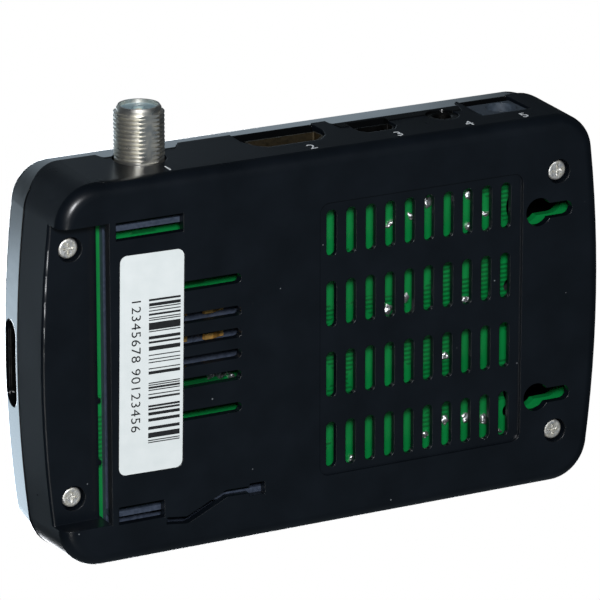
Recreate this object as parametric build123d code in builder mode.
"""A pocket-sized satellite receiver: a two-part moulded case round one circuit board.

It lies as in use: +Z up, its connector panel to +Y, its card recess and USB port to +X.
The origin is on the underside, at the middle of the bounding box. The tuner's thread
reaches past the connector panel, so the case's own centre is a little in front of it.
All sizes are in millimetres. Places are measured from the case's own centre, and those
of pieces near an end or a side are worked out from that end or side.
"""

from build123d import *
import os
from math import atan2, degrees

# Case
case_length = 118.0  # across the bowed short sides, at the seam
case_width = 75.0  # across the straight long sides, at the seam
total_height = 23.6
wall = 2.0
floor = 1.6
roof = 2.0
side_bow = 2.8  # how far each short side bows out
corner_radius = 8.5
base_draft = 0.55  # how far each wall leans in on its way down
base_round = 2.5  # between the walls and the underside
top_round = 2.5  # between the walls and the top
cover_lean = 1.1  # how far the cover's sides lean in between the seam and the top
least_round = 0.5  # the smallest rounding of the cover's inner edges
rear_seam = 17.0  # height of the seam along the connector panel
seam_rise = 4.0  # the seam climbs this far in front of the connector panel
seam_drop = 0.95  # the seam passes this far below the USB port's opening
seam_top_margin = 0.2  # from the end of that climb to the panel's face
seam_gap = 0.1
cut_over = 1.0  # how far a cut starts outside the face that it goes through
touch = 0.01  # how near a height an edge is looked for
half_length = case_length / 2
half_width = case_width / 2

# Board
board_under = 5.8
board_thickness = 1.6
board_gap = 0.5  # between the board's edge and the walls
board_hole_gap = 0.2  # between a screw's bore and the board
board_top = board_under + board_thickness

# Card recess and reader
recess_width = 12.2  # from the middle of the +X side inwards
recess_rear_margin = 8.0  # from the connector panel to the recess
recess_front_margin = 8.5
recess_roof = 1.4  # between the recess and the board
recess_end_wall = 1.5
recess_rim = 0.6  # rounding where the shelf meets the side wall
recess_edge = half_length - recess_width
recess_rear = half_width - recess_rear_margin
recess_front = recess_front_margin - half_width
recess_depth = board_under - recess_roof
slit_width = 0.6
slit_rear_margin = 1.0  # from the slit's ends to the ends of the recess
slit_front_margin = 0.1
slit_ribs = (-5.9, -18.0)
slit_rib_width = 0.8
card_width = 53.98
card_play = 0.3  # on each side of the card
rail_overlap = 0.6  # how far each rail reaches over the card
rail_width = 2.3
rail_height = 1.3
rail_web = 1.0
reader_length = 33.8
reader_bar = 2.0
reader_gap = 0.8  # between the reader and the recess's edge
rear_rail_notch = (18.8, 14.4)  # stretch of the rear rail cut back, in from the recess's edge
rear_rail_cut = 0.5
flange_width = 6.9  # of the front rail, which also lies behind the S-shaped slot
flange_holes = ((11.3, -29.15, 2.6, 1.5), (32.2, -29.3, 2.7, 0.7))
contact_block = (-1.6, 11.0)  # ends of the block along Y
reader_end = recess_edge - reader_length
reader_mouth = recess_edge - reader_gap
card_space_top = board_under - rail_height
card_side = card_width / 2 + card_play
rail_inner = card_width / 2 - rail_overlap
rail_outer = rail_inner + rail_width

# Vent panel, reader slots and windows in the underside
vent_size = (43.8, 54.0)
vent_end_margin = 18.3  # from the -X end to the panel
vent_shift = 0.0
vent_slot_shift = (0.34, -0.1)  # from the panel's middle to the middle of its slots
vent_depth = 0.6
vent_round = 2.0
vent_columns = 10
vent_rows = 4
vent_pitch = (4.19, 13.98)
vent_slot = (9.1, 2.15)
vent_centre = (-half_length + vent_end_margin + vent_size[0] / 2, vent_shift)
reader_slot = (22.0, 1.95)
reader_slot_inset = 5.1  # from the recess's edge
reader_slot_rows = (15.2, 8.9, 4.55, 0.5, -3.7, -10.05)
window_inset = 1.4
rear_window_size = (13.8, 3.5)
rear_window_low = 25.9
front_opening_size = (9.4, 3.5)
front_opening_low = -29.3
latch_slot_width = 1.4
latch_bend = 1.5
latch_end_box = (3.2, 2.5)
latch_points = ((11.3, -30.15), (15.6, -30.7), (23.9, -26.85), (30.3, -27.0))
label_size = (13.1, 42.5)
label_inset = 8.4  # from the recess's edge to the label's middle
label_shift = 1.5
label_turn = 1.0
label_thickness = 0.1
label_recess = 0.14
label_gap = 0.1
label_round = 1.4

# Keyholes
keyhole_end_margin = 14.7
keyhole_spacing = 37.36
keyhole_radius = 2.8
keyhole_slot = 5.9
keyhole_slot_width = 3.0
keyhole_x = -half_length + keyhole_end_margin

# Screws
right_screw_margins = (10.36, 11.3)  # from the -X end and from the long sides
left_screw_margins = (6.4, 13.3)  # from the +X end and from the long sides
screw_head_radius = 1.95
screw_head_height = 1.4
screw_head_round = 0.45
screw_sink = 0.8  # from the surface down to the head
screw_radius = 1.2
screw_play = 0.02
screw_length = 10.0
screw_end_gap = 0.5
screw_bore_radius = 1.4
counterbore_radius = 2.4
boss_radius = 3.4  # of the case's bosses
cover_boss_radius = 2.7
boss_gap = 0.25  # between a boss of the cover and the case's wall
left_boss_rise = 1.8  # of the left bosses above the board
cross_size = (2.2, 0.5)
cross_depth = 0.7
right_screw = (-half_length + right_screw_margins[0], half_width - right_screw_margins[1])
left_screw = (half_length - left_screw_margins[0], half_width - left_screw_margins[1])
left_boss_top = board_top + left_boss_rise

# Tuner socket
tuner_end_margin = 24.3
tuner_rise = 4.5  # of its axis above the board
tuner_reach = 10.1  # from the connector panel to the thread's tip
thread_radius = 4.76
thread_pitch = 0.794
thread_depth = 0.45
thread_valley = (0.30, 0.40)  # where the root lies, in shares of the pitch
thread_crest = (0.72, 0.98)
thread_runout = 0.6  # from the ports' faces to the first turn
barrel_relief = 0.1
collar_length = 1.1
tip_chamfer = (0.3, 0.5)
thread_flat = 0.5
flat_start = 0.3
tuner_bore = 3.55
tuner_hole = 5.1
tuner_block = (12.0, 6.0, 9.3)
tuner_block_gap = 0.1
tuner_block_round = 1.0
tuner_block_end = 1.0
insulator_setback = 0.7
insulator_length = 6.0
contact_setback = 1.2
contact_radius = 1.1
contact_bore = 0.5
can_size = (21.0, 22.0, 8.6)
can_shift = -2.0  # to -X of the socket's axis
can_sheet = 0.4
can_holes = 3  # in each row and column of the lid
can_hole_pitch = 6.0
can_hole_radius = 0.9
tuner_chip_size = (6.0, 6.0, 0.9)
tuner_x = half_length - tuner_end_margin
tuner_axis = board_top + tuner_rise

# Video socket
hd_x = 4.7
hd_width = 15.0
hd_height = 5.6
hd_depth = 11.5
hd_corner = (2.2, 2.0)  # cut off each lower corner: across and up
hd_round = 0.4
hd_gap = 0.25  # between the shell and the panel
hd_lift = 0.2  # between the board and the shell
hd_cutout_top = 17.3
hd_cutout_knee = 4.7  # above the shell's underside
hd_sheet = 0.35
hd_back = 2.5
hd_tongue_size = (11.6, 1.3)
hd_tongue_drop = 2.2  # from the shell's top to the tongue's middle
hd_tongue_setback = 1.2
hd_pins = 19
hd_pin_pitch = 0.5
hd_pin_size = (0.36, 0.12)
hd_pin_setback = 0.4  # behind the tongue's edge
hd_low = board_top + hd_lift

# Remote eye's mini socket
ir_x = -13.8
ir_width = 7.7
ir_height = 3.9
ir_depth = 9.0
ir_corner = (1.1, 1.7)
ir_round = 0.3
ir_lift = 0.05
ir_sheet = 0.3
ir_gap = 0.35
ir_opening_corner = (1.3, 1.8)
ir_opening_drop = 0.2  # below the board's top
ir_opening_rise = 6.6
ir_back = 2.0
ir_tongue_size = (5.2, 0.8)
ir_tongue_drop = 1.5
ir_tongue_setback = 1.0
ir_pins = 5
ir_pin_pitch = 0.8
ir_pin_size = (0.4, 0.12)
ir_pin_setback = 0.3
ir_low = board_top + ir_lift

# Audio and video jack
av_end_margin = 30.0
av_rise = 3.5
av_hole = 3.2
av_bush = 3.0
av_bush_stand = 0.1
av_bush_chamfer = 0.3
av_bore = 1.8
av_body = (6.8, 12.0, 6.6)
av_setback = 2.4
av_end_grow = 0.4
av_end_length = 1.0
av_foot = (0.4, 1.4, 2.0)
av_foot_pitch = 3.0
av_x = -half_length + av_end_margin
av_axis = board_top + av_rise

# Power socket
dc_end_margin = 17.9
dc_rise = 3.7
dc_width = 9.4
dc_height = 7.2
dc_depth = 12.5
dc_bore = 3.1
dc_bore_shift = -1.0
dc_bore_depth = 9.5
dc_pin_radius = 1.0
dc_pin_round = 0.5
dc_pin_setback = 1.0
dc_cutout_gap = 0.65
dc_cutout_drop = 0.2
dc_pocket = (2.0, 9.0)  # ends of the spring's pocket, behind the port faces
dc_pocket_clearance = 0.3
spring_offset = 0.15  # between the bore and the spring's line
spring_sheet = 0.3
spring_height = 1.8
spring_knee = 0.75
spring_knee_run = (3.2, 1.8, 1.4)  # from the spring's tip
spring_end_gap = 0.8
spring_swing = 1.2  # room behind the spring
pivot_inset = 0.9
pivot_radius = 0.42
pivot_play = 0.06
pivot_notch = (0.2, 0.4)  # where the pocket's two cuts start, before and behind the pivot
dc_foot = (1.8, 0.5, 3.0)
dc_feet = 3
dc_foot_pitch = 3.5
dc_x = -half_length + dc_end_margin
dc_bore_x = dc_x + dc_bore_shift
dc_axis = board_top + dc_rise

# USB port
usb_y = -0.9
usb_width = 13.2
usb_height = 5.7
usb_depth = 14.0
usb_roof_gap = 0.3
usb_stand = 0.2  # how far the shell reaches into the wall
usb_sheet = 0.35
usb_round = 0.6
usb_opening = (17.0, 6.2)
usb_opening_flat = 0.2  # straight part of the opening's ends
usb_back = 3.0
usb_back_gap = 0.3
usb_tongue = (11.2, 1.8)
usb_tongue_rise = 0.85
usb_tongue_setback = 1.5
usb_pins = 4
usb_pin_pitch = 2.3
usb_pin_size = (1.0, 0.2)
usb_pin_setback = 1.0
usb_leg = 0.6
riser_wall = 1.2
riser_setback = 3.5
riser_length = 10.0
riser_inset = 0.5
usb_low = total_height - roof - usb_height - usb_roof_gap
usb_middle = usb_low + usb_height / 2
side_seam = usb_middle - usb_opening[1] / 2 - seam_drop

# Tabs of the cover in the connector panel: low x, high x, height of the lower edge
tuner_tab_reach = (10.3, 6.5)  # to each side of the socket's axis
tuner_tab_rise = 6.9
tuner_tab_slant = 1.6
av_tab_reach = (6.2, 6.8)  # beyond the jack and beyond the mini socket
av_tab_rise = 4.7
av_tab_slant = 1.4
tuner_tab = (
    tuner_x - tuner_tab_reach[0],
    tuner_x + tuner_tab_reach[1],
    board_top + tuner_tab_rise,
)
av_tab = (av_x - av_tab_reach[0], ir_x + av_tab_reach[1], board_top + av_tab_rise)
tab_setback = 0.05

# Front window
window_width = 20.0
window_margins = (0.7, 1.3)  # above the board, and below the seam
window_lip = 1.0
window_gap = 0.1
window_setback = 0.45
window_low = board_top + window_margins[0]
window_high = side_seam - window_margins[1]
window_z = (window_low + window_high) / 2
window_size = (window_width, window_high - window_low)

# Solder, the board's open holes and the parts on its top
solder_drop = 0.9
solder_radius = 0.85
solder_taper = 25
tuner_lug = (4.6, 3.0, 5.2)  # beside the axis, and two rows in from the wall
hd_lug = (7.0, 4.0, 9.0)
av_lug = (3.0, 9.0)
dc_lug = 11.0
keyhole_clearance = 1.1  # of the board's hole round a wall screw
board_hole_radius = 1.4
chip_place = (-6.0, 2.0)
chip_size = (16.0, 1.5)
chip_corner = 0.6
pad_inset = 1.0
pad_thickness = 0.5
sink_size = (24.0, 24.0, 7.0)
sink_base = 1.6
sink_fins = 8
sink_fin = 1.0
memory_size = (8.0, 13.0, 1.1)
memory_end_margin = 30.5
flash_size = (5.3, 5.3, 1.8)
flash_step = 22.0  # in front of the main chip
crystal_size = (11.0, 4.6, 3.5)
crystal_place = (12.5, -16.0)
inductor_size = (6.5, 6.5, 3.2)
inductor_round = 1.2
inductor_end_margin = 14.0
regulator_size = (3.0, 3.0, 1.2)
regulator_end_margin = 22.0
power_pitch = 9.0
inductor_y = -1.0
regulator_y = -10.0
capacitor_radius = 3.15
capacitor_height = 7.5
capacitor_round = 0.4
capacitor_end_margin = 21.4
capacitor_pitch = 8.6
capacitor_y = (15.5, 15.5, 18.5)
front_row_place = (-14.0, -25.6)
front_row_pitch = (4.0, 3.2)
middle_row_place = (13.5, 2.0)
middle_row_pitch = (3.4, 3.0)
small_size = (1.6, 0.8, 0.8)
receiver_size = (5.6, 4.0, 6.4)
receiver_lens = 1.2
receiver_lens_rise = 1.2
receiver_lens_height = 3.6
lamp_radius = 1.5
lamp_height = 4.6
lamp_round = 1.2
lamp_spacing = 9.0
lamp_gap = 0.4
receiver_gap = 0.8

# Card reader's inner parts
reader_floor_gap = 0.1
lever_place = (4.2, -19.0)  # from the reader's end, and along Y
lever_pin_radius = 0.8
lever_pin_head = 1.3
lever_pin_head_height = 0.5
lever_pin_stand = 0.1
lever_play = 0.06
lever_hub = 0.9
lever_top_gap = 0.2
lever_thickness = 0.9
lever_seat = 2.2
lever_length = 10.0
lever_width = 1.0
lever_nose = 0.8
lever_nose_shift = 0.3
contact_row_insets = (22.9, 15.3)
contact_columns = 4
contact_middle = 4.7
contact_pitch = 2.54
contact_dip = 0.9
contact_width = 1.1
contact_sheet = 0.2
contact_tail = 2.6
contact_slope = 1.6
contact_flat = 1.4
contact_tip = (0.5, 0.5)

# Places that follow from these
centre_y = -tuner_reach / 2
draft_angle = degrees(atan2(base_draft, rear_seam))
panel_y = half_width
inner_y = panel_y - wall - base_draft
port_setback = 0.5
port_face = panel_y - port_setback
usb_face = half_length - wall + usb_stand


def level(height):
    """The horizontal plane at a height, centred on the case."""
    return Plane((0, centre_y, height))


def upright(distance):
    """The vertical plane at a distance behind the case's centre: x along X, y up."""
    return Plane((0, centre_y + distance, 0), x_dir=(1, 0, 0), z_dir=(0, -1, 0))


def sideways(distance):
    """The vertical plane at a distance to +X: x along Y, y up."""
    return Plane((distance, centre_y, 0), x_dir=(0, 1, 0), z_dir=(1, 0, 0))


def lean(height):
    """How far the case's outline grows at a height, against the seam at the rear."""
    return -base_draft * (1 - height / rear_seam)


def outline(grow=0.0):
    """The case seen from above, grown outwards by a distance."""
    side = half_width + grow
    end = half_length + grow
    shoulder = end - side_bow
    with BuildSketch() as plan:
        with BuildLine():
            Line((-shoulder, side), (shoulder, side))
            ThreePointArc((shoulder, side), (end, 0), (shoulder, -side))
            Line((shoulder, -side), (-shoulder, -side))
            ThreePointArc((-shoulder, -side), (-end, 0), (-shoulder, side))
        make_face()
        fillet(plan.vertices(), max(corner_radius + grow, least_round))
    return plan.sketch


def rectangle(low_x, low_y, high_x, high_y):
    """A rectangle between two corners, in the sketch that is being built."""
    with Locations(((low_x + high_x) / 2, (low_y + high_y) / 2)):
        Rectangle(high_x - low_x, high_y - low_y)


def tab(sizes, slant, grow=0.0):
    """A tab of the cover in the connector panel, as a sketch with slanted ends."""
    low_x, high_x, low_z = sizes
    top = rear_seam + wall
    with BuildSketch() as shape:
        with BuildLine():
            Polyline(
                (low_x + slant - grow, low_z - grow),
                (high_x - slant / 2 + grow, low_z - grow),
                (high_x + grow, rear_seam),
                (high_x + grow, top),
                (low_x - grow, top),
                (low_x - grow, rear_seam),
                close=True,
            )
        make_face()
    return shape.sketch


def stepped(middle, half, low, high, corner):
    """A socket's outline: wide above, with its lower corners cut off."""
    with BuildSketch() as shape:
        with BuildLine():
            Polyline(
                (middle - half, high),
                (middle + half, high),
                (middle + half, low + corner[1]),
                (middle + half - corner[0], low),
                (middle - half + corner[0], low),
                (middle - half, low + corner[1]),
                close=True,
            )
        make_face()
    return shape.sketch


def hd_profile(shrink=0.0):
    """The video socket's outline, drawn in by a distance."""
    with BuildSketch() as shape:
        add(
            stepped(
                hd_x,
                hd_width / 2 - shrink,
                hd_low + shrink,
                hd_low + hd_height - shrink,
                hd_corner,
            )
        )
        fillet(shape.vertices(), hd_round)
    return shape.sketch


def ir_profile(shrink=0.0):
    """The mini socket's outline, drawn in by a distance."""
    with BuildSketch() as shape:
        add(
            stepped(
                ir_x,
                ir_width / 2 - shrink,
                ir_low + shrink,
                ir_low + ir_height - shrink,
                ir_corner,
            )
        )
        fillet(shape.vertices(), ir_round)
    return shape.sketch


def keyholes(grow=0.0):
    """The two keyholes, round towards the middle and narrow towards -X."""
    with BuildSketch(Plane.XY) as holes:
        for side in (1, -1):
            with Locations((keyhole_x, side * keyhole_spacing / 2)):
                Circle(keyhole_radius + grow)
            with Locations((keyhole_x - keyhole_slot / 2, side * keyhole_spacing / 2)):
                SlotCenterToCenter(keyhole_slot, keyhole_slot_width + 2 * grow)
    return holes.sketch


def port_holes():
    """The holes that the connector panel has for its five ports, as a sketch."""
    knee = hd_low + hd_cutout_knee
    hd_half = hd_width / 2 + hd_gap
    ir_floor = board_top - ir_opening_drop
    with BuildSketch() as holes:
        with Locations((tuner_x, tuner_axis)):
            Circle(tuner_hole)
        with Locations((av_x, av_axis)):
            Circle(av_hole)
        rectangle(
            dc_x - dc_width / 2 - dc_cutout_gap,
            board_top - dc_cutout_drop,
            dc_x + dc_width / 2 + dc_cutout_gap,
            rear_seam,
        )
        # The video port's hole flares out above a knee
        add(stepped(hd_x, hd_half, hd_low - hd_gap, knee, (hd_corner[0], hd_corner[1] + hd_gap)))
        with BuildLine():
            Polyline(
                (hd_x - hd_cutout_top / 2, rear_seam),
                (hd_x + hd_cutout_top / 2, rear_seam),
                (hd_x + hd_cutout_top / 2, knee),
                (hd_x + hd_half, hd_low + hd_corner[1]),
                (hd_x - hd_half, hd_low + hd_corner[1]),
                (hd_x - hd_cutout_top / 2, knee),
                close=True,
            )
        make_face()
        add(
            stepped(
                ir_x,
                ir_width / 2 + ir_gap,
                ir_floor,
                board_top + ir_opening_rise,
                ir_opening_corner,
            )
        )
    return holes.sketch


right_screws = [(right_screw[0], side * right_screw[1]) for side in (1, -1)]
left_screws = [(left_screw[0], side * left_screw[1]) for side in (1, -1)]
right_seat = screw_sink + screw_head_height
left_seat = recess_depth + screw_sink + screw_head_height
screw_groups = ((right_screws, right_seat), (left_screws, left_seat))

# The space above the seam, which climbs from the sides to the connector panel
reach = case_length
with BuildPart() as above_seam:
    with BuildSketch(sideways(0)):
        with BuildLine():
            Polyline(
                (-reach, side_seam),
                (half_width - seam_rise, side_seam),
                (half_width - seam_top_margin, rear_seam),
                (reach, rear_seam),
                (reach, reach),
                (-reach, reach),
                close=True,
            )
        make_face()
    extrude(amount=reach, both=True)

# Opening of the USB port in the +X side
with BuildPart() as usb_hole:
    with BuildSketch(sideways(half_length + cut_over)):
        with Locations((usb_y, usb_low + usb_height / 2)):
            RectangleRounded(*usb_opening, (usb_opening[1] - usb_opening_flat) / 2)
    extrude(amount=-cut_over - wall - top_round)

# Bottom case: a tapered tray with a round bottom edge
with BuildPart() as bottom_case:
    with BuildSketch(level(0)):
        add(outline(lean(0)))
    extrude(amount=rear_seam, taper=-draft_angle)
    fillet(bottom_case.faces().sort_by(Axis.Z)[0].edges(), base_round)
    with BuildSketch(level(floor)):
        add(outline(lean(floor) - wall))
    extrude(amount=rear_seam, taper=-draft_angle, mode=Mode.SUBTRACT)
    # A block at the +X side takes the card recess; its shelf carries the board
    with BuildSketch(level(floor)):
        add(outline(lean(floor) - wall / 2))
        with Locations((recess_edge + half_length / 2, (recess_rear + recess_front) / 2)):
            Rectangle(
                half_length,
                recess_rear - recess_front + 2 * recess_end_wall,
                mode=Mode.INTERSECT,
            )
    extrude(amount=board_under - floor)
    with BuildSketch(level(0)):
        rectangle(recess_edge, recess_front, case_length, recess_rear)
    extrude(amount=recess_depth, mode=Mode.SUBTRACT)
    shelf_edges = bottom_case.edges().filter_by_position(
        Axis.Z, recess_depth - touch, recess_depth + touch
    )
    fillet(shelf_edges.sort_by(Axis.X)[-1], recess_rim)
    with BuildSketch(level(0)):
        rectangle(
            recess_edge,
            recess_front + slit_front_margin,
            recess_edge + slit_width,
            recess_rear - slit_rear_margin,
        )
        with Locations(*[(recess_edge, y) for y in slit_ribs]):
            Rectangle(4 * slit_width, slit_rib_width, mode=Mode.SUBTRACT)
    extrude(amount=board_under, mode=Mode.SUBTRACT)
    # Bosses and counterbored holes of the four screws
    with BuildSketch(level(floor)):
        with Locations(*right_screws):
            Circle(boss_radius)
    extrude(amount=board_under - floor)
    with BuildSketch(level(recess_depth)):
        with Locations(*left_screws):
            Circle(boss_radius)
    extrude(amount=left_boss_top - recess_depth)
    with BuildSketch(level(0)):
        with Locations(*right_screws, *left_screws):
            Circle(screw_bore_radius)
    extrude(amount=left_boss_top, mode=Mode.SUBTRACT)
    with BuildSketch(level(0)):
        with Locations(*right_screws):
            Circle(counterbore_radius)
    extrude(amount=right_seat, mode=Mode.SUBTRACT)
    with BuildSketch(level(recess_depth)):
        with Locations(*left_screws):
            Circle(counterbore_radius)
    extrude(amount=left_seat - recess_depth, mode=Mode.SUBTRACT)
    # Vent panel with its slots, and the slots over the card reader
    with BuildSketch(level(0)):
        with Locations(vent_centre):
            RectangleRounded(*vent_size, vent_round)
    extrude(amount=vent_depth, mode=Mode.SUBTRACT)
    reader_slot_x = recess_edge - reader_slot_inset - reader_slot[0] / 2
    window_x = recess_edge - window_inset
    with BuildSketch(level(0)):
        with Locations(vent_centre):
            with Locations(vent_slot_shift):
                with GridLocations(*vent_pitch, vent_columns, vent_rows):
                    SlotOverall(*vent_slot, rotation=90)
        with Locations(*[(reader_slot_x, y) for y in reader_slot_rows]):
            SlotOverall(*reader_slot)
        rectangle(
            window_x - rear_window_size[0],
            rear_window_low,
            window_x,
            rear_window_low + rear_window_size[1],
        )
        rectangle(
            window_x - front_opening_size[0],
            front_opening_low,
            window_x,
            front_opening_low + front_opening_size[1],
        )
        add(keyholes())
        with Locations((recess_edge - latch_points[-1][0], latch_points[-1][1])):
            Rectangle(*latch_end_box)
    extrude(amount=floor, mode=Mode.SUBTRACT)
    # S-shaped slot from the front opening to its square end
    with BuildSketch(level(0)):
        with BuildLine() as latch_path:
            FilletPolyline(*[(recess_edge - x, y) for x, y in latch_points], radius=latch_bend)
        trace(latch_path.line, line_width=latch_slot_width)
    extrude(amount=floor, mode=Mode.SUBTRACT)
    # Seat of the label
    label_place = Location((recess_edge - label_inset, label_shift, 0), (0, 0, label_turn))
    with BuildSketch(level(0)):
        with Locations(label_place):
            RectangleRounded(
                label_size[0] + 2 * label_gap,
                label_size[1] + 2 * label_gap,
                label_round + label_gap,
            )
    extrude(amount=label_recess, mode=Mode.SUBTRACT)
    # Front window's hole, port holes, notches for the cover's tabs, and the seam
    with BuildSketch(upright(-panel_y - cut_over)):
        with Locations((0, window_z)):
            Rectangle(*window_size)
    extrude(amount=-wall - base_draft - 2 * cut_over, mode=Mode.SUBTRACT)
    with BuildSketch(upright(panel_y + cut_over)):
        add(port_holes())
        add(tab(tuner_tab, tuner_tab_slant, grow=seam_gap))
        add(tab(av_tab, av_tab_slant, grow=seam_gap))
    extrude(amount=wall + 2 * cut_over, mode=Mode.SUBTRACT)
    add(usb_hole.part, mode=Mode.SUBTRACT)
    add(above_seam.part, mode=Mode.SUBTRACT)
bottom_case.part.label = "bottom_case"

# Top cover: its outer shape, its inner space and its bosses first
with BuildPart() as cover_shape:
    with BuildSketch(level(0)):
        add(outline())
    extrude(amount=side_seam)
    with BuildSketch(level(side_seam)):
        add(outline())
    with BuildSketch(level(total_height)):
        add(outline(-cover_lean))
    loft(ruled=True)
    fillet(cover_shape.faces().sort_by(Axis.Z)[-1].edges(), top_round)

with BuildPart() as cover_space:
    with BuildSketch(level(0)):
        add(outline(-wall))
    extrude(amount=side_seam)
    with BuildSketch(level(side_seam)):
        add(outline(-wall))
    with BuildSketch(level(total_height - roof)):
        add(outline(-wall - cover_lean))
    loft(ruled=True)
    fillet(cover_space.faces().sort_by(Axis.Z)[-1].edges(), max(top_round - wall, least_round))

with BuildPart() as cover_bosses:
    for places, start in ((right_screws, board_top), (left_screws, left_boss_top)):
        with BuildSketch(level(start)):
            with Locations(*places):
                Circle(cover_boss_radius)
            add(outline(-wall - base_draft - boss_gap), mode=Mode.INTERSECT)
        extrude(amount=total_height - roof / 2 - start)
    add(cover_shape.part, mode=Mode.INTERSECT)
    with BuildSketch(level(board_top)):
        with Locations(*right_screws, *left_screws):
            Circle(screw_radius)
    extrude(amount=left_seat + screw_length + screw_end_gap - board_top, mode=Mode.SUBTRACT)

with BuildPart() as cover_tabs:
    with BuildSketch(upright(panel_y - tab_setback)):
        add(tab(tuner_tab, tuner_tab_slant))
        add(tab(av_tab, av_tab_slant))
    extrude(amount=wall)
    add(cover_shape.part, mode=Mode.INTERSECT)

with BuildPart() as top_cover:
    add(cover_shape.part)
    add(cover_space.part, mode=Mode.SUBTRACT)
    with Locations((0, 0, seam_gap)):
        add(above_seam.part, mode=Mode.INTERSECT)
    add(cover_tabs.part)
    add(cover_bosses.part)
    # Port holes run on into the tabs, and the USB port opens the +X side
    with BuildSketch(upright(panel_y + cut_over)):
        add(port_holes())
    extrude(amount=wall + 2 * cut_over, mode=Mode.SUBTRACT)
    add(usb_hole.part, mode=Mode.SUBTRACT)
top_cover.part.label = "top_cover"

# Front window: a lens with a lip behind the wall
with BuildPart() as front_window:
    with BuildSketch(upright(-inner_y)):
        with Locations((0, window_z)):
            RectangleRounded(
                window_size[0] + 2 * window_lip, window_size[1] + window_lip, least_round
            )
    extrude(amount=-window_lip)
    with BuildSketch(upright(-inner_y)):
        with Locations((0, window_z)):
            Rectangle(window_size[0] - 2 * window_gap, window_size[1] - 2 * window_gap)
    extrude(amount=wall + base_draft - window_setback)
front_window.part.label = "front_window"

# Label
with BuildPart() as serial_label:
    with BuildSketch(level(label_recess - label_thickness)):
        with Locations(label_place):
            RectangleRounded(*label_size, label_round)
    extrude(amount=label_thickness)
serial_label.part.label = "serial_label"

# Screws, each with a domed head and a cross recess, driven upwards
with BuildPart() as case_screws:
    for places, seat in screw_groups:
        face = seat - screw_head_height
        with BuildSketch(level(face)):
            with Locations(*places):
                Circle(screw_head_radius)
        extrude(amount=screw_head_height)
        rims = case_screws.edges().filter_by_position(Axis.Z, face - touch, face + touch)
        fillet(rims, screw_head_round)
        with BuildSketch(level(seat)):
            with Locations(*places):
                Circle(screw_radius - screw_play)
        extrude(amount=screw_length)
        with BuildSketch(level(face)):
            with Locations(*places):
                Rectangle(cross_size[0], cross_size[1])
                Rectangle(cross_size[1], cross_size[0])
        extrude(amount=cross_depth, mode=Mode.SUBTRACT)
case_screws.part.label = "case_screws"

# Circuit board, cut back round the left bosses and drilled for the right screws
with BuildPart() as main_board:
    with BuildSketch(level(board_under)):
        add(outline(lean(board_under) - wall - board_gap))
        for x, y in left_screws:
            side = 1 if y > 0 else -1
            with Locations((x + boss_radius, y + side * boss_radius)):
                Rectangle(
                    4 * boss_radius + 2 * board_gap,
                    4 * boss_radius + 2 * board_gap,
                    mode=Mode.SUBTRACT,
                )
        with Locations(*right_screws):
            Circle(screw_bore_radius + board_hole_gap, mode=Mode.SUBTRACT)
        with Locations(vent_centre):
            with Locations((-22.65, 2.8), (-22.8, -22.75)):
                Circle(board_hole_radius, mode=Mode.SUBTRACT)
        add(keyholes(keyhole_clearance), mode=Mode.SUBTRACT)
    extrude(amount=board_thickness)
main_board.part.label = "main_board"

# Solder on the underside, below the parts that have pins and where the vents show it
port_solder = []
for side in (1, -1):
    for row in (0, 1):
        port_solder.append((tuner_x + side * tuner_lug[0], inner_y - tuner_lug[1 + row]))
        port_solder.append((hd_x + side * hd_lug[0], inner_y - hd_lug[1 + row]))
    port_solder.append((av_x + side * av_lug[0], inner_y - av_lug[1]))
for step in (-1, 0, 1):
    port_solder.append((dc_x + step * dc_foot_pitch, inner_y - dc_lug))
vent_solder = [
    (4.0, 19.2),
    (-0.6, 20.0),
    (-4.2, 22.2),
    (-13.2, 22.3),
    (-13.2, 16.1),
    (-17.1, 18.2),
    (4.1, 2.2),
    (0.6, 3.9),
    (-12.8, 1.6),
    (-8.3, -9.2),
    (-8.4, -22.2),
    (-13.1, -22.5),
    (-4.0, -24.6),
    (-17.1, -23.5),
    (-20.6, -26.3),
    (12.0, -26.8),
]
reader_solder = [(23.5, -5.1), (25.6, -5.1), (27.8, -6.0)]
with BuildPart() as solder_joints:
    with BuildSketch(level(board_under)):
        with Locations(*port_solder):
            Circle(solder_radius)
        with Locations(vent_centre):
            with Locations(*vent_solder):
                Circle(solder_radius)
        with Locations(*[(recess_edge - x, y) for x, y in reader_solder]):
            Circle(solder_radius)
    extrude(amount=-solder_drop, taper=solder_taper)
solder_joints.part.label = "solder_joints"

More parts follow.
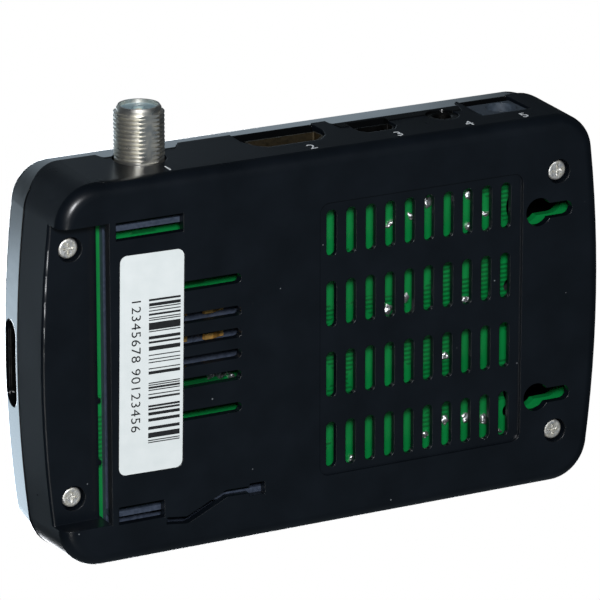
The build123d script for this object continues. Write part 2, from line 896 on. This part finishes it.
# Tuner socket: a die-cast block and a threaded barrel, flat on its underside
block_front = inner_y - tuner_block_gap
block_bore_end = block_front - tuner_block[1] + tuner_block_end
thread_start = port_face + thread_runout
tip_y = panel_y + tuner_reach
thread_turns = int((tip_y - collar_length - thread_start) / thread_pitch)
thread_end = thread_start + thread_turns * thread_pitch
with BuildPart() as tuner_connector_body:
    with BuildSketch(level(tuner_axis)) as half_section:
        with BuildLine():
            root = tuner_x + thread_radius - thread_depth
            crest = tuner_x + thread_radius
            relief = crest - barrel_relief
            points = [(tuner_x, block_front), (relief, block_front), (relief, thread_start)]
            for turn in range(thread_turns):
                start = thread_start + turn * thread_pitch
                points += [(root, start + share * thread_pitch) for share in thread_valley]
                points += [(crest, start + share * thread_pitch) for share in thread_crest]
            points.append((root - barrel_relief, thread_end + barrel_relief))
            points.append((root - barrel_relief, tip_y - tip_chamfer[1]))
            points.append((root - barrel_relief - tip_chamfer[0], tip_y))
            points.append((tuner_x, tip_y))
            Polyline(*points, close=True)
        make_face()
    revolve(axis=Axis((tuner_x, centre_y, tuner_axis), (0, 1, 0)))
    with BuildSketch(upright(block_front)):
        rectangle(
            tuner_x - tuner_block[0] / 2,
            board_top,
            tuner_x + tuner_block[0] / 2,
            board_top + tuner_block[2],
        )
    extrude(amount=tuner_block[1])
    block_edges = tuner_connector_body.faces().sort_by(Axis.Z)[-1].edges()
    fillet(block_edges.filter_by(Axis.Y), tuner_block_round)
    with BuildSketch(level(tuner_axis - thread_radius + thread_flat)):
        rectangle(
            tuner_x - thread_radius,
            port_face + flat_start,
            tuner_x + thread_radius,
            tip_y + cut_over,
        )
    extrude(amount=-thread_radius, mode=Mode.SUBTRACT)
    with BuildSketch(upright(tip_y)):
        with Locations((tuner_x, tuner_axis)):
            Circle(tuner_bore)
    extrude(amount=tip_y - block_bore_end, mode=Mode.SUBTRACT)
tuner_connector_body.part.label = "tuner_connector_body"

with BuildPart() as tuner_insulator:
    with BuildSketch(upright(tip_y - insulator_setback)):
        with Locations((tuner_x, tuner_axis)):
            Circle(tuner_bore)
            Circle(contact_radius, mode=Mode.SUBTRACT)
    extrude(amount=insulator_length)
tuner_insulator.part.label = "tuner_insulator"

with BuildPart() as tuner_contact:
    with BuildSketch(upright(tip_y - contact_setback)):
        with Locations((tuner_x, tuner_axis)):
            Circle(contact_radius)
    extrude(amount=tip_y - contact_setback - block_bore_end)
    with BuildSketch(upright(tip_y - contact_setback)):
        with Locations((tuner_x, tuner_axis)):
            Circle(contact_bore)
    extrude(amount=insulator_length, mode=Mode.SUBTRACT)
tuner_contact.part.label = "tuner_contact"

# Shield can round the tuner circuit: a fence and a lid over it
can_rear = block_front - tuner_block[1]
can_centre = (tuner_x + can_shift, can_rear - can_size[1] / 2)
with BuildPart() as tuner_can_frame:
    with BuildSketch(level(board_top)):
        with Locations(can_centre):
            Rectangle(can_size[0], can_size[1])
            Rectangle(can_size[0] - 2 * can_sheet, can_size[1] - 2 * can_sheet, mode=Mode.SUBTRACT)
    extrude(amount=can_size[2])
tuner_can_frame.part.label = "tuner_can_frame"

with BuildPart() as tuner_can_lid:
    with BuildSketch(level(board_top + can_size[2])):
        with Locations(can_centre):
            Rectangle(can_size[0], can_size[1])
            with GridLocations(can_hole_pitch, can_hole_pitch, can_holes, can_holes):
                Circle(can_hole_radius, mode=Mode.SUBTRACT)
    extrude(amount=can_sheet)
tuner_can_lid.part.label = "tuner_can_lid"

with BuildPart() as tuner_chip:
    with BuildSketch(level(board_top)):
        with Locations(can_centre):
            Rectangle(tuner_chip_size[0], tuner_chip_size[1])
    extrude(amount=tuner_chip_size[2])
tuner_chip.part.label = "tuner_chip"

# Video socket: folded shell, tongue and its pins
with BuildPart() as hd_output_shell:
    with BuildSketch(upright(port_face)):
        add(hd_profile())
        add(hd_profile(hd_sheet), mode=Mode.SUBTRACT)
    extrude(amount=hd_depth)
hd_output_shell.part.label = "hd_output_shell"

hd_tongue_z = hd_low + hd_height - hd_tongue_drop
with BuildPart() as hd_output_tongue:
    with BuildSketch(upright(port_face - hd_depth + hd_back)):
        add(hd_profile(hd_sheet))
    extrude(amount=hd_back)
    with BuildSketch(upright(port_face - hd_tongue_setback)):
        with Locations((hd_x, hd_tongue_z)):
            Rectangle(*hd_tongue_size)
    extrude(amount=hd_depth - hd_tongue_setback - hd_back)
hd_output_tongue.part.label = "hd_output_tongue"

with BuildPart() as hd_output_contacts:
    pin_start = hd_tongue_setback + hd_pin_setback
    pin_rise = (hd_tongue_size[1] + hd_pin_size[1]) / 2
    with BuildSketch(upright(port_face - pin_start)):
        for pin in range(hd_pins):
            above = 1 if pin % 2 == 0 else -1
            place_x = hd_x + (pin - (hd_pins - 1) / 2) * hd_pin_pitch
            with Locations((place_x, hd_tongue_z + above * pin_rise)):
                Rectangle(*hd_pin_size)
    extrude(amount=hd_depth - pin_start - hd_back)
hd_output_contacts.part.label = "hd_output_contacts"

# Mini socket of the remote eye
with BuildPart() as ir_port_shell:
    with BuildSketch(upright(port_face)):
        add(ir_profile())
        add(ir_profile(ir_sheet), mode=Mode.SUBTRACT)
    extrude(amount=ir_depth)
ir_port_shell.part.label = "ir_port_shell"

ir_tongue_z = ir_low + ir_height - ir_tongue_drop
with BuildPart() as ir_port_tongue:
    with BuildSketch(upright(port_face - ir_depth + ir_back)):
        add(ir_profile(ir_sheet))
    extrude(amount=ir_back)
    with BuildSketch(upright(port_face - ir_tongue_setback)):
        with Locations((ir_x, ir_tongue_z)):
            Rectangle(*ir_tongue_size)
    extrude(amount=ir_depth - ir_tongue_setback - ir_back)
ir_port_tongue.part.label = "ir_port_tongue"

with BuildPart() as ir_port_contacts:
    pin_start = ir_tongue_setback + ir_pin_setback
    with BuildSketch(upright(port_face - pin_start)):
        with Locations((ir_x, ir_tongue_z - (ir_tongue_size[1] + ir_pin_size[1]) / 2)):
            with GridLocations(ir_pin_pitch, 1, ir_pins, 1):
                Rectangle(*ir_pin_size)
    extrude(amount=ir_depth - pin_start - ir_back)
ir_port_contacts.part.label = "ir_port_contacts"

# Audio and video jack: plastic body, plated bush and its solder feet
av_face = port_face - av_setback
with BuildPart() as av_jack_body:
    with BuildSketch(upright(av_face)):
        rectangle(av_x - av_body[0] / 2, board_top, av_x + av_body[0] / 2, board_top + av_body[2])
        with Locations((av_x, av_axis)):
            Circle(av_bore, mode=Mode.SUBTRACT)
    extrude(amount=av_body[1])
    with BuildSketch(upright(av_face - av_body[1] + av_end_length)):
        with Locations((av_x, av_axis)):
            Circle(av_bore + av_end_grow)
    extrude(amount=av_end_length)
av_jack_body.part.label = "av_jack_body"

with BuildPart() as av_jack_bush:
    with BuildSketch(upright(port_face + av_bush_stand)):
        with Locations((av_x, av_axis)):
            Circle(av_bush)
            Circle(av_bore, mode=Mode.SUBTRACT)
    extrude(amount=port_face + av_bush_stand - av_face)
    mouth_edges = av_jack_bush.faces().sort_by(Axis.Y)[-1].edges()
    chamfer(mouth_edges.sort_by(SortBy.RADIUS)[:1], av_bush_chamfer)
av_jack_bush.part.label = "av_jack_bush"

with BuildPart() as av_jack_terminals:
    with BuildSketch(level(board_top)):
        with Locations((av_x, av_face - av_body[1] / 2)):
            with GridLocations(av_body[0] + av_foot[0], av_foot_pitch, 2, 3):
                Rectangle(av_foot[0], av_foot[1])
    extrude(amount=av_foot[2])
av_jack_terminals.part.label = "av_jack_terminals"

# Power socket: its body has a pocket beside the bore for the side spring
pocket_rear = port_face - dc_pocket[0]
pocket_front = port_face - dc_pocket[1]
spring_x = dc_bore_x + dc_bore + spring_offset
pivot_y = pocket_front + pivot_inset
pocket_low = dc_axis - spring_height / 2 - dc_pocket_clearance
spring_side = spring_x + spring_sheet / 2 + dc_pocket_clearance
with BuildPart() as dc_jack_body:
    with BuildSketch(upright(port_face)):
        rectangle(dc_x - dc_width / 2, board_top, dc_x + dc_width / 2, board_top + dc_height)
    extrude(amount=dc_depth)
    with BuildSketch(upright(port_face)):
        with Locations((dc_bore_x, dc_axis)):
            Circle(dc_bore)
    extrude(amount=dc_bore_depth, mode=Mode.SUBTRACT)
    with BuildSketch(upright(port_face - dc_bore_depth)):
        with Locations((dc_bore_x, dc_axis)):
            Circle(dc_pin_radius)
    extrude(amount=dc_depth, mode=Mode.SUBTRACT)
    with BuildSketch(level(pocket_low)):
        rectangle(
            dc_bore_x,
            pivot_y + pivot_notch[1],
            spring_x + spring_sheet / 2 + spring_swing,
            pocket_rear,
        )
        rectangle(dc_bore_x, pivot_y - pivot_notch[0], spring_side, pocket_rear)
        with Locations((spring_x, pivot_y)):
            Circle(pivot_radius + pivot_play)
    extrude(amount=spring_height + 2 * dc_pocket_clearance, mode=Mode.SUBTRACT)
dc_jack_body.part.label = "dc_jack_body"

with BuildPart() as dc_jack_pin:
    with BuildSketch(upright(port_face - dc_pin_setback)):
        with Locations((dc_bore_x, dc_axis)):
            Circle(dc_pin_radius)
    extrude(amount=dc_depth - dc_pin_setback)
    fillet(dc_jack_pin.faces().sort_by(Axis.Y)[-1].edges(), dc_pin_round)
dc_jack_pin.part.label = "dc_jack_pin"

spring_tip = pocket_rear - spring_end_gap
with BuildPart() as dc_jack_spring:
    with BuildSketch(level(dc_axis - spring_height / 2)):
        with Locations((spring_x, pivot_y)):
            Circle(pivot_radius)
        rectangle(spring_x - spring_sheet / 2, pivot_y, spring_x + spring_sheet / 2, spring_tip)
        with BuildLine():
            Polyline(
                (spring_x, spring_tip - spring_knee_run[0]),
                (spring_x - spring_knee, spring_tip - spring_knee_run[1]),
                (spring_x - spring_knee, spring_tip - spring_knee_run[2]),
                (spring_x, spring_tip),
                close=True,
            )
        make_face()
    extrude(amount=spring_height)
dc_jack_spring.part.label = "dc_jack_spring"

with BuildPart() as dc_jack_terminals:
    with BuildSketch(level(board_top)):
        with Locations((dc_x, port_face - dc_depth - dc_foot[1] / 2)):
            with GridLocations(dc_foot_pitch, 1, dc_feet, 1):
                Rectangle(dc_foot[0], dc_foot[1])
    extrude(amount=dc_foot[2])
dc_jack_terminals.part.label = "dc_jack_terminals"

# USB port, raised on a stand so that it meets the opening in the cover
with BuildPart() as usb_port_shell:
    with BuildSketch(sideways(usb_face)):
        with Locations((usb_y, usb_middle)):
            RectangleRounded(usb_width, usb_height, usb_round)
            RectangleRounded(
                usb_width - 2 * usb_sheet,
                usb_height - 2 * usb_sheet,
                usb_round / 2,
                mode=Mode.SUBTRACT,
            )
    extrude(amount=-usb_depth)
usb_port_shell.part.label = "usb_port_shell"

riser_size = (riser_length, usb_width - 2 * riser_inset)
riser_centre = (usb_face - riser_setback - riser_length / 2, usb_y)
with BuildPart() as usb_port_riser:
    with BuildSketch(level(board_top)):
        with Locations(riser_centre):
            Rectangle(*riser_size)
    extrude(amount=usb_low - board_top)
    with BuildSketch(level(board_top)):
        with Locations(riser_centre):
            Rectangle(riser_size[0] - 2 * riser_wall, riser_size[1] - 2 * riser_wall)
    extrude(amount=usb_low - board_top - riser_wall, mode=Mode.SUBTRACT)
usb_port_riser.part.label = "usb_port_riser"

usb_tongue_z = usb_middle + usb_tongue_rise
with BuildPart() as usb_port_tongue:
    with BuildSketch(sideways(usb_face - usb_depth + usb_back)):
        with Locations((usb_y, usb_middle)):
            Rectangle(usb_width - 2 * usb_sheet - 2 * usb_back_gap, usb_height - 2 * usb_sheet)
    extrude(amount=-usb_back)
    with BuildSketch(sideways(usb_face - usb_tongue_setback)):
        with Locations((usb_y, usb_tongue_z)):
            Rectangle(*usb_tongue)
    extrude(amount=-usb_depth + usb_tongue_setback + usb_back)
usb_port_tongue.part.label = "usb_port_tongue"

with BuildPart() as usb_port_contacts:
    pin_start = usb_tongue_setback + usb_pin_setback
    with BuildSketch(sideways(usb_face - pin_start)):
        with Locations((usb_y, usb_tongue_z - (usb_tongue[1] + usb_pin_size[1]) / 2)):
            with GridLocations(usb_pin_pitch, 1, usb_pins, 1):
                Rectangle(*usb_pin_size)
    extrude(amount=-usb_depth + pin_start + usb_back)
    with BuildSketch(level(board_top)):
        with Locations((usb_face - usb_depth - usb_leg / 2, usb_y)):
            with GridLocations(1, usb_pin_pitch, 1, usb_pins):
                Rectangle(usb_leg, usb_leg)
    extrude(amount=usb_tongue_z - board_top)
usb_port_contacts.part.label = "usb_port_contacts"

# Card reader: a rail, a wide flange, two cross bars and a contact block, below the board
card_space_low = floor + reader_floor_gap
lever_pivot = (reader_end + lever_place[0], lever_place[1])
lever_high = card_space_top - lever_top_gap
lever_low = lever_high - lever_thickness
pin_end = lever_low - lever_pin_stand
with BuildPart() as card_reader_body:
    with BuildSketch(level(card_space_top)):
        rectangle(reader_end, rail_inner, reader_mouth, rail_outer)
        rectangle(reader_end, -rail_inner - flange_width, reader_mouth, -rail_inner)
        rectangle(reader_end, -rail_outer, reader_end + reader_bar, rail_outer)
        rectangle(reader_mouth - reader_bar, -rail_outer, reader_mouth, rail_outer)
        rectangle(reader_end, contact_block[0], reader_mouth, contact_block[1])
        rectangle(
            reader_end,
            lever_pivot[1] - lever_seat,
            lever_pivot[0] + lever_seat,
            lever_pivot[1] + lever_seat,
        )
    extrude(amount=board_under - card_space_top)
    # Webs that guide the card's edges, and the stop at the end of its travel
    with BuildSketch(level(card_space_low)):
        for side in (1, -1):
            with Locations(((reader_end + reader_mouth) / 2, side * (card_side + rail_web / 2))):
                Rectangle(reader_mouth - reader_end, rail_web)
        rectangle(reader_end, -card_side, reader_end + reader_bar / 2, card_side)
    extrude(amount=card_space_top - card_space_low)
    # A notch in the rear rail and two holes in the front flange, down to the board
    with BuildSketch(level(card_space_top)):
        rectangle(
            recess_edge - rear_rail_notch[0],
            rail_inner - cut_over,
            recess_edge - rear_rail_notch[1],
            rail_inner + rear_rail_cut,
        )
        for inset, row, length, width in flange_holes:
            with Locations((recess_edge - inset, row)):
                Rectangle(length, width)
    extrude(amount=board_under - card_space_top, mode=Mode.SUBTRACT)
    # Pin that the switch lever turns on, with a head that keeps the lever on it
    with BuildSketch(level(card_space_top)):
        with Locations(lever_pivot):
            Circle(lever_pin_radius)
    extrude(amount=pin_end - card_space_top)
    with BuildSketch(level(pin_end)):
        with Locations(lever_pivot):
            Circle(lever_pin_head)
    extrude(amount=-lever_pin_head_height)
card_reader_body.part.label = "card_reader_body"

# Eight gold springs in two rows, bent down into the card's path
contact_low = card_space_top - contact_dip
with BuildPart() as card_reader_contacts:
    for step in range(contact_columns):
        column = contact_middle + (step - (contact_columns - 1) / 2) * contact_pitch
        with BuildSketch(upright(column)):
            for inset in contact_row_insets:
                row = recess_edge - inset
                with BuildLine():
                    Polyline(
                        (row - contact_tail, card_space_top),
                        (row - contact_slope, card_space_top),
                        (row, contact_low + contact_sheet),
                        (row + contact_flat, contact_low + contact_sheet),
                        (row + contact_flat + contact_tip[0], contact_low + contact_tip[1]),
                        (row + contact_slope, contact_low),
                        (row - contact_sheet / 2, contact_low),
                        (row - contact_slope - contact_sheet, card_space_top - contact_sheet),
                        (row - contact_tail, card_space_top - contact_sheet),
                        close=True,
                    )
                make_face()
        extrude(amount=contact_width / 2, both=True)
card_reader_contacts.part.label = "card_reader_contacts"

with BuildPart() as card_switch_lever:
    with BuildSketch(level(lever_low)):
        with Locations(lever_pivot):
            Circle(lever_pin_radius + lever_play + lever_hub)
        rectangle(
            lever_pivot[0] - lever_width / 2,
            lever_pivot[1],
            lever_pivot[0] + lever_width / 2,
            lever_pivot[1] + lever_length,
        )
        with Locations((lever_pivot[0] + lever_nose_shift, lever_pivot[1] + lever_length)):
            Circle(lever_nose)
        with Locations(lever_pivot):
            Circle(lever_pin_radius + lever_play, mode=Mode.SUBTRACT)
    extrude(amount=lever_thickness)
card_switch_lever.part.label = "card_switch_lever"

# Main chip with its pad and finned heat sink
with BuildPart() as main_chip:
    with BuildSketch(level(board_top)):
        with Locations(chip_place):
            Rectangle(chip_size[0], chip_size[0])
    extrude(amount=chip_size[1])
    chamfer(main_chip.edges().filter_by(Axis.Z), chip_corner)
main_chip.part.label = "main_chip"

with BuildPart() as thermal_pad:
    with BuildSketch(level(board_top + chip_size[1])):
        with Locations(chip_place):
            Rectangle(chip_size[0] - 2 * pad_inset, chip_size[0] - 2 * pad_inset)
    extrude(amount=pad_thickness)
thermal_pad.part.label = "thermal_pad"

sink_low = board_top + chip_size[1] + pad_thickness
with BuildPart() as heat_sink:
    with BuildSketch(level(sink_low)):
        with Locations(chip_place):
            Rectangle(sink_size[0], sink_size[1])
    extrude(amount=sink_base)
    with BuildSketch(level(sink_low + sink_base)):
        with Locations(chip_place):
            with GridLocations((sink_size[0] - sink_fin) / (sink_fins - 1), 1, sink_fins, 1):
                Rectangle(sink_fin, sink_size[1])
    extrude(amount=sink_size[2] - sink_base)
heat_sink.part.label = "heat_sink"

with BuildPart() as memory_chip:
    with BuildSketch(level(board_top)):
        with Locations((-half_length + memory_end_margin, chip_place[1])):
            Rectangle(memory_size[0], memory_size[1])
    extrude(amount=memory_size[2])
memory_chip.part.label = "memory_chip"

with BuildPart() as flash_chip:
    with BuildSketch(level(board_top)):
        with Locations((chip_place[0], chip_place[1] - flash_step)):
            Rectangle(flash_size[0], flash_size[1])
    extrude(amount=flash_size[2])
flash_chip.part.label = "flash_chip"

with BuildPart() as crystal:
    with BuildSketch(level(board_top)):
        with Locations(crystal_place):
            SlotOverall(crystal_size[0], crystal_size[1])
    extrude(amount=crystal_size[2])
crystal.part.label = "crystal"

# Power parts in rows along the -X end
with BuildPart() as power_inductors:
    with BuildSketch(level(board_top)):
        with Locations((-half_length + inductor_end_margin, inductor_y)):
            with GridLocations(1, power_pitch, 1, 3):
                RectangleRounded(inductor_size[0], inductor_size[1], inductor_round)
    extrude(amount=inductor_size[2])
power_inductors.part.label = "power_inductors"

with BuildPart() as voltage_regulators:
    with BuildSketch(level(board_top)):
        with Locations((-half_length + regulator_end_margin, regulator_y)):
            with GridLocations(1, power_pitch, 1, 3):
                Rectangle(regulator_size[0], regulator_size[1])
    extrude(amount=regulator_size[2])
voltage_regulators.part.label = "voltage_regulators"

with BuildPart() as electrolytic_capacitors:
    with BuildSketch(level(board_top)):
        for count, y in enumerate(capacitor_y):
            with Locations((-half_length + capacitor_end_margin + count * capacitor_pitch, y)):
                Circle(capacitor_radius)
    extrude(amount=capacitor_height)
    tops = electrolytic_capacitors.faces().group_by(Axis.Z)[-1]
    fillet(tops.edges(), capacitor_round)
electrolytic_capacitors.part.label = "electrolytic_capacitors"

with BuildPart() as small_capacitors:
    with BuildSketch(level(board_top)):
        with Locations(front_row_place):
            with GridLocations(*front_row_pitch, 9, 2):
                Rectangle(small_size[0], small_size[1])
        with Locations(middle_row_place):
            with GridLocations(*middle_row_pitch, 2, 6):
                Rectangle(small_size[1], small_size[0])
    extrude(amount=small_size[2])
small_capacitors.part.label = "small_capacitors"

# Remote control receiver and lamp, close behind the front window
window_back = -inner_y + window_lip
with BuildPart() as ir_receiver:
    with BuildSketch(level(board_top)):
        with Locations((-lamp_spacing / 2, window_back + receiver_gap + receiver_size[1] / 2)):
            Rectangle(receiver_size[0], receiver_size[1])
    extrude(amount=receiver_size[2])
    with BuildSketch(level(board_top + receiver_lens_rise)):
        with Locations((-lamp_spacing / 2, window_back + receiver_gap + receiver_lens / 2)):
            Circle(receiver_lens)
    extrude(amount=receiver_lens_height)
ir_receiver.part.label = "ir_receiver"

with BuildPart() as status_led:
    with BuildSketch(level(board_top)):
        with Locations((lamp_spacing / 2, window_back + lamp_gap + lamp_radius)):
            Circle(lamp_radius)
    extrude(amount=lamp_height)
    fillet(status_led.faces().sort_by(Axis.Z)[-1].edges(), lamp_round)
status_led.part.label = "status_led"

nodes = [
    bottom_case,
    top_cover,
    front_window,
    serial_label,
    case_screws,
    main_board,
    solder_joints,
    tuner_connector_body,
    tuner_insulator,
    tuner_contact,
    tuner_can_frame,
    tuner_can_lid,
    tuner_chip,
    hd_output_shell,
    hd_output_tongue,
    hd_output_contacts,
    ir_port_shell,
    ir_port_tongue,
    ir_port_contacts,
    av_jack_body,
    av_jack_bush,
    av_jack_terminals,
    dc_jack_body,
    dc_jack_pin,
    dc_jack_spring,
    dc_jack_terminals,
    usb_port_shell,
    usb_port_riser,
    usb_port_tongue,
    usb_port_contacts,
    card_reader_body,
    card_reader_contacts,
    card_switch_lever,
    main_chip,
    thermal_pad,
    heat_sink,
    memory_chip,
    flash_chip,
    crystal,
    power_inductors,
    electrolytic_capacitors,
    voltage_regulators,
    small_capacitors,
    ir_receiver,
    status_led,
]
os.makedirs("parts", exist_ok=True)
for node in nodes:
    export_step(node.part, f"parts/{node.part.label}.step")
    print(node.part.label, len(node.part.solids()), "solids")
